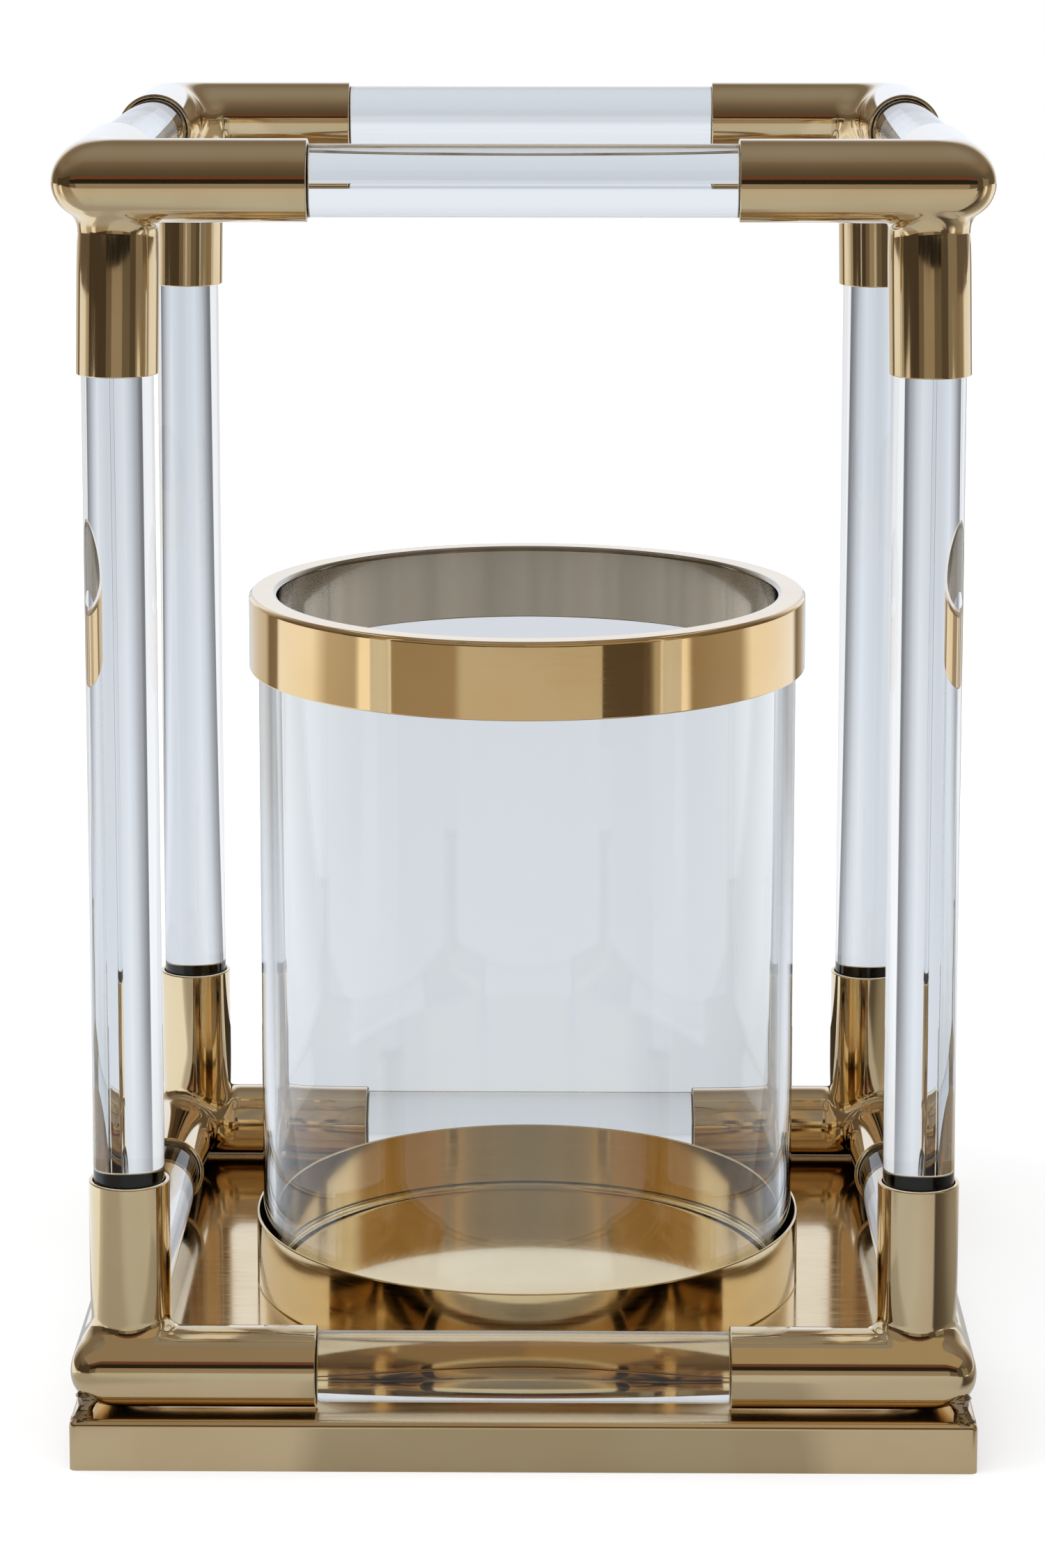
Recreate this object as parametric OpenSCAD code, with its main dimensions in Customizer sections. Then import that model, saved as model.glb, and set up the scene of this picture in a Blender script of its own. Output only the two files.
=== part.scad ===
// Square lantern with a glass hurricane: gold metal corner fittings joined by clear solid rods,
// standing on a shallow pan, with a dish that holds the glass cylinder and its loose rim collar.
// The origin is on the table under the centre of the pan, +Z is up and the front faces -Y.

/* [Frame] */
// Width and depth over the outside of the rails
frame_w = 280; // [240:1:330]
// Height from the table to the top of the upper rails
frame_h = 410; // [380:1:520]

/* [Corner fittings] */
// Outer diameter of the fitting tubes
tube_d = 25; // [21:0.5:28]
// Wall of the fitting tubes
tube_wall = 1.2; // [0.8:0.1:2]
// Radius ground onto the outer edge of each mitred corner
corner_round = 5.5; // [4:0.5:9]
// Reach of a rail socket, from the outside of the frame to its mouth
rail_socket = 76; // [66:1:88]
// Reach of a post sleeve, from the rail's axis to its mouth
post_socket = 58.5; // [50:0.5:75]
// How far a post sleeve stands in from the rail axes, both ways
post_inset = 5.5; // [3:0.5:6]
// Radius of the tack welds between sleeve and rails
tack_r = 2.2; // [1.5:0.1:3]

/* [Clear rods] */
// Radial room between a rod and its socket, filled with clear glue
rod_gap = 0.3; // [0.1:0.05:0.6]
// Length of rod that sits in each socket
rod_insert = 35; // [20:1:38]

/* [Base pan] */
// Height of the pan's skirt
pan_h = 16; // [10:0.5:25]
// Sheet thickness of the pan
pan_sheet = 1.2; // [0.8:0.1:1.6]
// Outer bend radius of the pan's top edges and corners
pan_bend = 2.2; // [1.7:0.1:3]
// Open gap between the pan and the lower rails
pan_gap = 1; // [1:0.25:5]
// Radius of the foot of each weld between pan and frame
bead_r = 4.2; // [3:0.1:5]

/* [Dish] */
// Radial room between the dish and the glass
dish_gap = 1.25; // [0.5:0.25:3]
// Height of the dish
dish_h = 24; // [15:1:40]
// Sheet thickness of the dish
dish_sheet = 1; // [0.7:0.1:1.5]

/* [Glass] */
// Outer diameter of the glass cylinder
glass_d = 178; // [140:1:184]
// Wall of the glass
glass_wall = 4; // [3:0.5:5]
// Height of the glass
glass_h = 233; // [150:1:310]
// Radius of the polished edges of the glass
glass_edge = 1; // [0.5:0.1:1.4]

/* [Rim collar] */
// Room between the collar's outer skirt and the glass
collar_out_gap = 2; // [0.5:0.25:3]
// Room between the collar's inner skirt and the glass
collar_in_gap = 1.4; // [0.5:0.1:3]
// Height of the collar
collar_h = 25; // [15:1:35]
// Sheet thickness of the collar
collar_sheet = 1; // [0.7:0.1:1.5]
// Radius of the collar's upper edges
collar_round = 2; // [1.6:0.1:3]

/* [Hidden] */
$fn = 96;

// Sides of the object: left and front are -1, right and back are 1, lower is -1 and upper is 1
LEFT = -1;
RIGHT = 1;
FRONT = -1;
BACK = 1;
LOWER = -1;
UPPER = 1;

tube_r = tube_d / 2;
bore_r = tube_r - tube_wall;
rod_r = bore_r - rod_gap;
rail_axis = frame_w / 2 - tube_r;                // rails' axes from the centre, in X and in Y
post_axis = rail_axis - post_inset;              // posts' axes from the centre, in X and in Y
lower_z = pan_h + pan_gap + tube_r;              // height of the lower rails' axes
upper_z = frame_h - tube_r;                      // height of the upper rails' axes
arm = rail_socket - tube_r;                      // from the crossing of two rail axes to a socket's mouth
bend = tube_r - corner_round;                    // bend centre of a corner, outward from that crossing
rail_rod_l = frame_w - 2 * rail_socket + 2 * rod_insert;
post_rod_l = upper_z - lower_z - 2 * post_socket + 2 * rod_insert;
glass_r = glass_d / 2;
dish_r = glass_r + dish_gap + dish_sheet;        // outside of the dish
dish_floor_z = pan_h + dish_sheet;
glass_top_z = dish_floor_z + glass_h;
collar_top_z = glass_top_z + collar_sheet;
collar_r = glass_r + collar_out_gap + collar_sheet;
collar_bore_r = glass_r - glass_wall - collar_in_gap - collar_sheet;
bead_axis = frame_w / 2 - pan_bend - bead_r - 0.4; // welds stand on the pan's flat, just inside its bend
bead_waist = bead_r * 0.65;
over = 1;                                        // overshoot of a cutting shape

GOLD = [0.80, 0.66, 0.42];
CLEAR_ROD = [0.88, 0.91, 0.95, 0.45];
CLEAR_GLASS = [0.85, 0.90, 0.93, 0.35];

// One tube of a corner, solid, along +X, cut at the mitre and ended where the corner's rounding begins
module mitred_arm(r) {
    intersection() {
        translate([-bend, 0, 0])
            rotate([0, 90, 0])
            cylinder(r = r, h = arm + bend);
        translate([-bend, -bend, -2 * r])
            linear_extrude(4 * r)
            polygon([[0, 0], [0, -2 * r], [arm + bend, -2 * r], [arm + bend, 3 * r], [3 * r, 3 * r]]);
    }
}

// The rounding between the two tubes: the part of the tube's section that lies beyond the bend centre,
// swept a quarter turn about it
module corner_bend(r) {
    translate([-bend, -bend, 0])
        rotate([0, 0, 180])
        rotate_extrude(angle = 90)
        difference() {
            translate([-bend, 0]) circle(r = r);
            translate([-2 * r - bend, -2 * r]) square([2 * r + bend, 4 * r]);
        }
}

// Two tubes mitred at a right angle, with the outer edge of the mitre rounded; solid
module rounded_mitre(r) {
    mitred_arm(r);
    mirror([1, -1, 0]) mitred_arm(r);
    corner_bend(r);
}

// The rounded mitre hollowed out, with a socket mouth at each end
module elbow() {
    difference() {
        rounded_mitre(tube_r);
        rounded_mitre(bore_r);
        translate([arm - over, 0, 0])
            rotate([0, 90, 0])
            cylinder(r = bore_r, h = 2 * over);
        translate([0, arm - over, 0])
            rotate([-90, 0, 0])
            cylinder(r = bore_r, h = 2 * over);
    }
}

module pipe(r, wall, h) {
    difference() {
        cylinder(r = r, h = h);
        translate([0, 0, -over]) cylinder(r = r - wall, h = h + 2 * over);
    }
}

// A post sleeve. It is cut square where it overhangs the valley between the two rails, and coped
// down onto the rails all round the outside.
module sleeve() {
    root_h = tube_r - sqrt(tube_r * tube_r - pow(tube_r - post_inset, 2)) + over;
    translate([post_inset, post_inset, tube_r])
        pipe(tube_r, tube_wall, post_socket - tube_r);
    difference() {
        translate([post_inset, post_inset, tube_r - root_h])
            pipe(tube_r, tube_wall, root_h);
        translate([post_inset, post_inset, tube_r - root_h - over])
            cube([2 * tube_r, 2 * tube_r, root_h + 2 * over]);
        rounded_mitre(tube_r);
    }
}

// Two tack welds, where the square cut of a sleeve crosses the crests of the rails
module tacks() {
    reach = post_inset + sqrt(tube_r * tube_r - post_inset * post_inset);
    for (side = [0, 1])
        mirror([side, -side, 0])
        difference() {
            translate([reach, 0.35 * post_inset, tube_r]) sphere(r = tack_r, $fn = 48);
            rounded_mitre(tube_r);
            translate([post_inset, post_inset, 0]) cylinder(r = tube_r, h = 2 * tube_r);
        }
}

// Puts a corner part, drawn at the crossing of the rail axes of the lower front left corner, in its corner
module at_corner(side, face, level) {
    translate([side * rail_axis, face * rail_axis, level == LOWER ? lower_z : upper_z])
        mirror([side == RIGHT ? 1 : 0, 0, 0])
        mirror([0, face == BACK ? 1 : 0, 0])
        mirror([0, 0, level == UPPER ? 1 : 0])
        children();
}

module corner_elbow(side, face, level) {
    color(GOLD) at_corner(side, face, level) elbow();
}

module corner_sleeve(side, face, level) {
    color(GOLD) at_corner(side, face, level) sleeve();
}

module tack_welds() {
    color(GOLD)
        for (side = [LEFT, RIGHT], face = [FRONT, BACK], level = [LOWER, UPPER])
            at_corner(side, face, level) tacks();
}

// A rail rod along X at the front or the back
module cross_rail(face, level) {
    color(CLEAR_ROD)
        translate([0, face * rail_axis, level == LOWER ? lower_z : upper_z])
        rotate([0, 90, 0])
        cylinder(r = rod_r, h = rail_rod_l, center = true);
}

// A rail rod along Y at the left or the right
module side_rail(side, level) {
    color(CLEAR_ROD)
        translate([side * rail_axis, 0, level == LOWER ? lower_z : upper_z])
        rotate([90, 0, 0])
        cylinder(r = rod_r, h = rail_rod_l, center = true);
}

module post(side, face) {
    color(CLEAR_ROD)
        translate([side * post_axis, face * post_axis, lower_z + post_socket - rod_insert])
        cylinder(r = rod_r, h = post_rod_l);
}

// A square block with rounded upper edges and upright corners, standing on the table
module bent_block(w, h, r) {
    c = w / 2 - r;
    translate([-c, -w / 2, 0]) cube([2 * c, w, h - r]);
    translate([-w / 2, -c, 0]) cube([w, 2 * c, h - r]);
    translate([-c, -c, 0]) cube([2 * c, 2 * c, h]);
    for (x = [-c, c], y = [-c, c])
        translate([x, y, 0]) {
            cylinder(r = r, h = h - r, $fn = 48);
            translate([0, 0, h - r]) sphere(r = r, $fn = 48);
        }
    for (s = [-1, 1]) {
        translate([s * c, 0, h - r]) rotate([90, 0, 0]) cylinder(r = r, h = 2 * c, center = true, $fn = 48);
        translate([0, s * c, h - r]) rotate([0, 90, 0]) cylinder(r = r, h = 2 * c, center = true, $fn = 48);
    }
}

// The base: one sheet bent down into a skirt on all four sides, open underneath
module base_pan() {
    color(GOLD)
        difference() {
            bent_block(frame_w, pan_h, pan_bend);
            translate([0, 0, -over])
                bent_block(frame_w - 2 * pan_sheet, pan_h - pan_sheet + over, pan_bend - pan_sheet);
        }
}

// The necked welds that carry the frame's four lower corners on the pan
module pan_welds() {
    neck = (bead_r - bead_waist) * 2;
    color(GOLD)
        for (side = [LEFT, RIGHT], face = [FRONT, BACK])
            difference() {
                translate([side * bead_axis, face * bead_axis, pan_h])
                    rotate_extrude()
                    difference() {
                        square([bead_r, tube_r]);
                        translate([bead_waist + neck, neck / 2 + pan_gap / 2]) circle(r = neck);
                    }
                at_corner(side, face, LOWER) rounded_mitre(tube_r);
            }
}

// The dish that the glass stands in, fixed to the pan
module candle_dish() {
    color(GOLD)
        translate([0, 0, pan_h])
        difference() {
            cylinder(r = dish_r, h = dish_h, $fn = 180);
            translate([0, 0, dish_sheet]) cylinder(r = dish_r - dish_sheet, h = dish_h, $fn = 180);
        }
}

// The plain glass cylinder, open at both ends, with its edges polished round
module glass_cylinder() {
    color(CLEAR_GLASS)
        translate([0, 0, dish_floor_z])
        rotate_extrude($fn = 180)
        translate([glass_r - glass_wall, 0]) {
            translate([0, glass_edge]) square([glass_wall, glass_h - 2 * glass_edge]);
            translate([glass_edge, 0]) square([glass_wall - 2 * glass_edge, glass_h]);
            for (x = [glass_edge, glass_wall - glass_edge], z = [glass_edge, glass_h - glass_edge])
                translate([x, z]) circle(r = glass_edge, $fn = 32);
        }
}

// The collar: a channel that drops over the top edge of the glass
module rim_collar() {
    width = collar_r - collar_bore_r;
    color(GOLD)
        translate([0, 0, collar_top_z - collar_h])
        rotate_extrude($fn = 180)
        translate([collar_bore_r, 0])
        difference() {
            union() {
                square([width, collar_h - collar_round]);
                translate([collar_round, 0]) square([width - 2 * collar_round, collar_h]);
                for (x = [collar_round, width - collar_round])
                    translate([x, collar_h - collar_round]) circle(r = collar_round, $fn = 48);
            }
            translate([collar_sheet, -over])
                square([width - 2 * collar_sheet, collar_h - collar_sheet + over]);
        }
}

base_pan();
candle_dish();
pan_welds();
tack_welds();
corner_elbow(LEFT, FRONT, LOWER);  // lower_elbow_front_left
corner_elbow(RIGHT, FRONT, LOWER);  // lower_elbow_front_right
corner_elbow(LEFT, BACK, LOWER);  // lower_elbow_back_left
corner_elbow(RIGHT, BACK, LOWER);  // lower_elbow_back_right
corner_elbow(LEFT, FRONT, UPPER);  // upper_elbow_front_left
corner_elbow(RIGHT, FRONT, UPPER);  // upper_elbow_front_right
corner_elbow(LEFT, BACK, UPPER);  // upper_elbow_back_left
corner_elbow(RIGHT, BACK, UPPER);  // upper_elbow_back_right
corner_sleeve(LEFT, FRONT, LOWER);  // lower_sleeve_front_left
corner_sleeve(RIGHT, FRONT, LOWER);  // lower_sleeve_front_right
corner_sleeve(LEFT, BACK, LOWER);  // lower_sleeve_back_left
corner_sleeve(RIGHT, BACK, LOWER);  // lower_sleeve_back_right
corner_sleeve(LEFT, FRONT, UPPER);  // upper_sleeve_front_left
corner_sleeve(RIGHT, FRONT, UPPER);  // upper_sleeve_front_right
corner_sleeve(LEFT, BACK, UPPER);  // upper_sleeve_back_left
corner_sleeve(RIGHT, BACK, UPPER);  // upper_sleeve_back_right
cross_rail(FRONT, LOWER);  // lower_rail_front
cross_rail(BACK, LOWER);  // lower_rail_back
side_rail(LEFT, LOWER);  // lower_rail_left
side_rail(RIGHT, LOWER);  // lower_rail_right
cross_rail(FRONT, UPPER);  // upper_rail_front
cross_rail(BACK, UPPER);  // upper_rail_back
side_rail(LEFT, UPPER);  // upper_rail_left
side_rail(RIGHT, UPPER);  // upper_rail_right
post(LEFT, FRONT);  // post_front_left
post(RIGHT, FRONT);  // post_front_right
post(LEFT, BACK);  // post_back_left
post(RIGHT, BACK);  // post_back_right
glass_cylinder();
rim_collar();
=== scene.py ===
"""The looks of a square hurricane lantern: gold corner fittings, clear rods, glass, dish and pan.

Lengths are in metres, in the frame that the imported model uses: origin on the table under the middle
of the pan, +Z up, front towards -Y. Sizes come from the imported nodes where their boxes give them. Walls,
sheets and small radii are named here.
"""

import math

import bpy
import numpy as np
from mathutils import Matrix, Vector

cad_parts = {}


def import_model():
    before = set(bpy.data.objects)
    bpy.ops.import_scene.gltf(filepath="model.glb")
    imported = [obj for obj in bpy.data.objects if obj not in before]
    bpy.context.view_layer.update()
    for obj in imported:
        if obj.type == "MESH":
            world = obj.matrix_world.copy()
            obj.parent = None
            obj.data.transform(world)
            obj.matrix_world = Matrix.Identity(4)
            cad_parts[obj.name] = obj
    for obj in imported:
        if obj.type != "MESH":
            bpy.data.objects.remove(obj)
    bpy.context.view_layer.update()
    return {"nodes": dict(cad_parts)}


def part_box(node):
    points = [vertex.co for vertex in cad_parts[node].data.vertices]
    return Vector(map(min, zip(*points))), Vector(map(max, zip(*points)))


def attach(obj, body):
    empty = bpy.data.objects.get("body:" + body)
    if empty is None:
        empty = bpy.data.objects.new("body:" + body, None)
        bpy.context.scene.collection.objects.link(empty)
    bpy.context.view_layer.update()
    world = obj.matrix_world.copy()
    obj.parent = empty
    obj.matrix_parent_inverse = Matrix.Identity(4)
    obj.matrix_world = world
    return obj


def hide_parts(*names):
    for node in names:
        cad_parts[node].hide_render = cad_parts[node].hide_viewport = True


MM = 0.001

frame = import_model()
nodes = frame["nodes"]


# ---------------------------------------------------------------- sizes, read from the frame

def span(node, axis):
    """Lowest and highest coordinate of a node along an axis, 0 to 2."""
    low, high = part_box(node)
    return low[axis], high[axis]


def middle(node, axis):
    low, high = span(node, axis)
    return (low + high) / 2


def half(node, axis):
    low, high = span(node, axis)
    return (high - low) / 2


FRAME_HALF = span("upper_elbow_front_right", 0)[1]
TUBE_R = half("upper_elbow_front_right", 2)
LOWER_Z = middle("lower_elbow_front_right", 2)
UPPER_Z = middle("upper_elbow_front_right", 2)
RAIL_AXIS = FRAME_HALF - TUBE_R
POST_AXIS = middle("post_back_right", 0)
INSET = RAIL_AXIS - POST_AXIS
ARM_MOUTH = RAIL_AXIS - span("upper_elbow_front_right", 0)[0]
SLEEVE_MOUTH = span("lower_sleeve_front_right", 2)[1] - LOWER_Z
PAN_TOP = span("base_pan", 2)[1]
WALL = 1.2 * MM                 # of the fitting tubes
BORE_R = TUBE_R - WALL
SHEET = 1.0 * MM                # of the dish and the collar
GLASS_WALL = 4.0 * MM


# ---------------------------------------------------------------- node helpers

def new_material(name):
    material = bpy.data.materials.new(name)
    material.use_nodes = True
    material.node_tree.nodes.clear()
    return material, material.node_tree


def add(tree, kind, inputs=None, **settings):
    """Adds a shader node, with its settings and the default values or links of its inputs."""
    made = tree.nodes.new(kind)
    for key, value in settings.items():
        setattr(made, key, value)
    for key, value in (inputs or {}).items():
        put(tree, made.inputs[key], value)
    return made


def put(tree, socket, value):
    """Sets a socket's own value, or links it if the value is another node's output."""
    if isinstance(value, bpy.types.NodeSocket):
        tree.links.new(value, socket)
    elif socket.type == "RGBA" and len(value) == 3:
        socket.default_value = (*value, 1.0)
    else:
        socket.default_value = value


def object_point(tree):
    return add(tree, "ShaderNodeTexCoord").outputs["Object"]


def split(tree, vector):
    """The X, Y and Z of a vector."""
    return add(tree, "ShaderNodeSeparateXYZ", {"Vector": vector}).outputs


def from_axis(tree, x, y):
    """The level vector from the middle axis to a point, and its length."""
    level = add(tree, "ShaderNodeCombineXYZ", {"X": x, "Y": y}).outputs[0]
    length = add(tree, "ShaderNodeVectorMath", {0: level}, operation="LENGTH").outputs["Value"]
    return level, length


def stretched(tree, point, scale):
    return add(tree, "ShaderNodeMapping", {"Vector": point, "Scale": scale}).outputs["Vector"]


def noise(tree, point, scale, detail=3.0, roughness=0.5):
    values = {"Vector": point, "Scale": scale, "Detail": detail, "Roughness": roughness}
    return add(tree, "ShaderNodeTexNoise", values).outputs["Fac"]


def ramp(tree, value, low, high, to_low=0.0, to_high=1.0):
    """Maps a value linearly from one range to another, clamped. The range may run downwards."""
    values = {"Value": value, "From Min": low, "From Max": high, "To Min": to_low, "To Max": to_high}
    return add(tree, "ShaderNodeMapRange", values).outputs["Result"]


def mix_colour(tree, share, a, b):
    made = add(tree, "ShaderNodeMix", data_type="RGBA")
    put(tree, made.inputs[0], share)
    put(tree, made.inputs[6], a)
    put(tree, made.inputs[7], b)
    return made.outputs[2]


def math_node(tree, operation, a, b=0.0):
    made = add(tree, "ShaderNodeMath", operation=operation)
    put(tree, made.inputs[0], a)
    put(tree, made.inputs[1], b)
    return made.outputs[0]


def output(tree, shader):
    add(tree, "ShaderNodeOutputMaterial", {"Surface": shader})


# ---------------------------------------------------------------- metals

CHAMPAGNE = (0.80, 0.63, 0.38)
CHAMPAGNE_DEEP = (0.76, 0.58, 0.33)
BRUSHED_GOLD = (0.83, 0.65, 0.35)
BRUSHED_GOLD_DEEP = (0.78, 0.59, 0.29)
RICH_GOLD = (0.84, 0.61, 0.31)
RICH_GOLD_DEEP = (0.80, 0.56, 0.26)
WELD_GOLD = (0.42, 0.31, 0.18)
WELD_GOLD_DEEP = (0.22, 0.16, 0.10)
AMBER_MARK = (0.80, 0.50, 0.18)
UNPOLISHED = (0.40, 0.34, 0.26)
UNPOLISHED_ROUGHNESS = 0.16
PAN_EDGE_ROUGHNESS = 0.20
PAN_COAT = 0.5
UNPOLISHED_BANDS = 0.72         # share of that colour which its darker bands keep
WHEEL_REACH = 8 * MM            # how far in from its outside the collar is polished
CLOUD_SCALE = 26.0              # patches of deeper and duller polish, about 40 mm across
CLOUD_RANGE = (0.38, 0.66)      # of the noise, from clear to deep
MARK_SCALE = 70.0               # small amber marks in the plating
MARK_RANGE = (0.66, 0.74)       # of the noise, from none to full
MARK_STRENGTH = 0.45
STREAK_RANGE = (0.35, 0.75)     # of the brush lines, from none to full
STREAK_TOP = 0.6                # streaks at which the plate is dullest
GRAIN_DEPTH = 0.02 * MM
TUBE_BRUSH = (0.03, 900.0)      # brush lines: how much they are drawn out, and their scale
SHEET_BRUSH = (0.1, 700.0)
RING_BRUSH = (0.003, 1400.0)


def mix_value(tree, share, a, b):
    made = add(tree, "ShaderNodeMix", data_type="FLOAT")
    put(tree, made.inputs[0], share)
    put(tree, made.inputs[2], a)
    put(tree, made.inputs[3], b)
    return made.outputs[0]


def between(tree, value, low, high):
    """1 where a value lies between two limits, else 0."""
    above = math_node(tree, "GREATER_THAN", value, low)
    return math_node(tree, "MULTIPLY", above, math_node(tree, "LESS_THAN", value, high))


def lines_along(tree, point, axis, brush):
    """Brush lines along one axis, 0 to 2."""
    stretch, scale = brush
    stretches = [1.0, 1.0, 1.0]
    stretches[axis] = stretch
    return noise(tree, stretched(tree, point, stretches), scale, detail=3.0, roughness=0.6)


def tube_grain(tree, point):
    """Brush lines that run along whichever rail or sleeve a point is on."""
    x, y, z = split(tree, point)
    along_x, along_y, along_z = [lines_along(tree, point, axis, TUBE_BRUSH) for axis in range(3)]
    on_x = math_node(tree, "GREATER_THAN", math_node(tree, "ABSOLUTE", y), math_node(tree, "ABSOLUTE", x))
    rails = mix_value(tree, on_x, along_y, along_x)
    return mix_value(tree, between(tree, z, LOWER_Z + TUBE_R, UPPER_Z - TUBE_R), rails, along_z)


def ring_grain(tree, point):
    """Brush lines round the middle axis, with a little waviness."""
    stretch, scale = RING_BRUSH
    x, y, z = split(tree, point)
    radius = from_axis(tree, x, y)[1]
    angle = math_node(tree, "ARCTAN2", x, y)
    around = math_node(tree, "MULTIPLY", math_node(tree, "ABSOLUTE", angle), stretch)
    coiled = add(tree, "ShaderNodeCombineXYZ", {"X": radius, "Y": around, "Z": z}).outputs[0]
    return noise(tree, coiled, scale, detail=3.0, roughness=0.6)


def sheet_grain(tree, point):
    return lines_along(tree, point, 0, SHEET_BRUSH)


def gold(name, colours, roughness, grain, bump):
    """Polished gold-coloured plate under a clear lacquer: faint brush lines, patches where the polish
    is a little deeper or duller, and small amber marks. It varies between the two colours and between
    the two values of roughness."""
    material, tree = new_material(name)
    point = object_point(tree)
    lines = grain(tree, point)
    clouds = noise(tree, point, CLOUD_SCALE)
    colour = mix_colour(tree, ramp(tree, clouds, *CLOUD_RANGE), *colours)
    marks = noise(tree, stretched(tree, point, (0.5, 1, 1)), MARK_SCALE, detail=6.0, roughness=0.7)
    marked = ramp(tree, marks, *MARK_RANGE, to_high=MARK_STRENGTH)
    colour = mix_colour(tree, marked, colour, AMBER_MARK)
    streaks = math_node(tree, "MULTIPLY", ramp(tree, lines, *STREAK_RANGE), clouds)
    height = {"Height": lines, "Strength": bump, "Distance": GRAIN_DEPTH}
    values = {
        "Base Color": colour,
        "Metallic": 1.0,
        "Roughness": ramp(tree, streaks, 0.0, STREAK_TOP, *roughness),
        "Coat Weight": 1.0,
        "Coat Roughness": 0.03,
        "Normal": add(tree, "ShaderNodeBump", height).outputs["Normal"],
    }
    shader = add(tree, "ShaderNodeBsdfPrincipled", values)
    output(tree, shader.outputs["BSDF"])
    return material, tree, shader


def duller_inside(tree, shader, radius):
    """Greyer and more brushed within a radius, in uneven bands, where the polishing wheel did not reach."""
    level, distance = from_axis(tree, *split(tree, object_point(tree))[:2])
    round_about = add(tree, "ShaderNodeVectorMath", {0: level}, operation="NORMALIZE").outputs["Vector"]
    buffed = ramp(tree, noise(tree, round_about, scale=5.0, detail=2.0), 0.35, 0.65)
    colour = mix_colour(tree, buffed, UNPOLISHED, [UNPOLISHED_BANDS * part for part in UNPOLISHED])
    inside = math_node(tree, "LESS_THAN", distance, radius)
    for socket, mixed, dull in (
            ("Base Color", mix_colour, colour),
            ("Roughness", mix_value, UNPOLISHED_ROUGHNESS)):
        shown = shader.inputs[socket].links[0].from_socket
        put(tree, shader.inputs[socket], mixed(tree, inside, shown, dull))


def softer_under_rails(tree, shader):
    """Dulls the pan's top from under the rails out to its bend, where the sheet is less polished."""
    x, y, z = split(tree, object_point(tree))
    out = math_node(tree, "MAXIMUM", math_node(tree, "ABSOLUTE", x), math_node(tree, "ABSOLUTE", y))
    margin = ramp(tree, out, RAIL_AXIS - TUBE_R / 2, RAIL_AXIS)
    on_top = math_node(tree, "GREATER_THAN", z, PAN_TOP - 0.5 * MM)
    margin = math_node(tree, "MULTIPLY", margin, on_top)
    shown = shader.inputs["Roughness"].links[0].from_socket
    put(tree, shader.inputs["Roughness"], mix_value(tree, margin, shown, PAN_EDGE_ROUGHNESS))
    put(tree, shader.inputs["Coat Weight"], PAN_COAT)


polished = gold(
    "polished_gold", (CHAMPAGNE, CHAMPAGNE_DEEP), roughness=(0.05, 0.12), grain=tube_grain, bump=0.10)[0]
brushed = gold(
    "brushed_gold", (BRUSHED_GOLD, BRUSHED_GOLD_DEEP),
    roughness=(0.07, 0.16), grain=ring_grain, bump=0.10)[0]
weld_gold = gold(
    "weld_gold", (WELD_GOLD, WELD_GOLD_DEEP), roughness=(0.10, 0.24), grain=tube_grain, bump=0.3)[0]
pan_gold, pan_tree, pan_shader = gold(
    "pan_gold", (CHAMPAGNE, CHAMPAGNE_DEEP), roughness=(0.09, 0.18), grain=sheet_grain, bump=0.08)
softer_under_rails(pan_tree, pan_shader)
collar_gold, collar_tree, collar_shader = gold(
    "collar_gold", (RICH_GOLD, RICH_GOLD_DEEP), roughness=(0.04, 0.10), grain=ring_grain, bump=0.04)
duller_inside(collar_tree, collar_shader, span("rim_collar", 0)[1] - WHEEL_REACH)


# ---------------------------------------------------------------- clear materials

def clear(name, colour, ior):
    """A clear solid that lets lamps through, so that its shadow stays light."""
    material, tree = new_material(name)
    values = {"Base Color": colour, "Roughness": 0.0, "IOR": ior, "Transmission Weight": 1.0}
    solid = add(tree, "ShaderNodeBsdfPrincipled", values).outputs["BSDF"]
    passing = add(tree, "ShaderNodeBsdfTransparent", {"Color": colour}).outputs["BSDF"]
    path = add(tree, "ShaderNodeLightPath")
    both = add(tree, "ShaderNodeMixShader")
    put(tree, both.inputs[0], path.outputs["Is Shadow Ray"])
    tree.links.new(solid, both.inputs[1])
    tree.links.new(passing, both.inputs[2])
    output(tree, both.outputs["Shader"])
    return material


acrylic = clear("clear_acrylic", (0.93, 0.95, 0.975), ior=1.49)
glass = clear("clear_glass", (0.97, 0.98, 0.985), ior=1.5)


# ---------------------------------------------------------------- pieces

def piece(name, body, slot, material, vertices, faces, normals):
    """A smooth mesh whose shading follows the exact normals of its surface."""
    mesh = bpy.data.meshes.new(name)
    mesh.from_pydata(vertices.tolist(), [], faces)
    mesh.polygons.foreach_set("use_smooth", [True] * len(mesh.polygons))
    mesh.normals_split_custom_set_from_vertices(normals.tolist())
    mesh.materials.append(material)
    made = bpy.data.objects.new(name, mesh)
    bpy.context.scene.collection.objects.link(made)
    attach(made, body)
    return made


def arc(centre, radius, start, end, steps=6):
    """Points and normals along an arc of a profile, with angles in degrees. A negative radius gives a
    hollow arc, whose normals point at its centre."""
    found = []
    for angle in np.radians(np.linspace(start, end, steps + 1)):
        normal = (math.cos(angle), math.sin(angle))
        point = (centre[0] + radius * normal[0], centre[1] + radius * normal[1])
        found.append((point, normal))
    return found


# ---------------------------------------------------------------- curved solids from a field

def smooth_max(a, b, reach):
    """The larger of two fields, with the crease between them rounded over a reach."""
    share = np.maximum(reach - np.abs(a - b), 0.0)
    return np.maximum(a, b) + share * share / (4 * reach)


def smooth_min(a, b, reach):
    return -smooth_max(-a, -b, reach)


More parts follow.
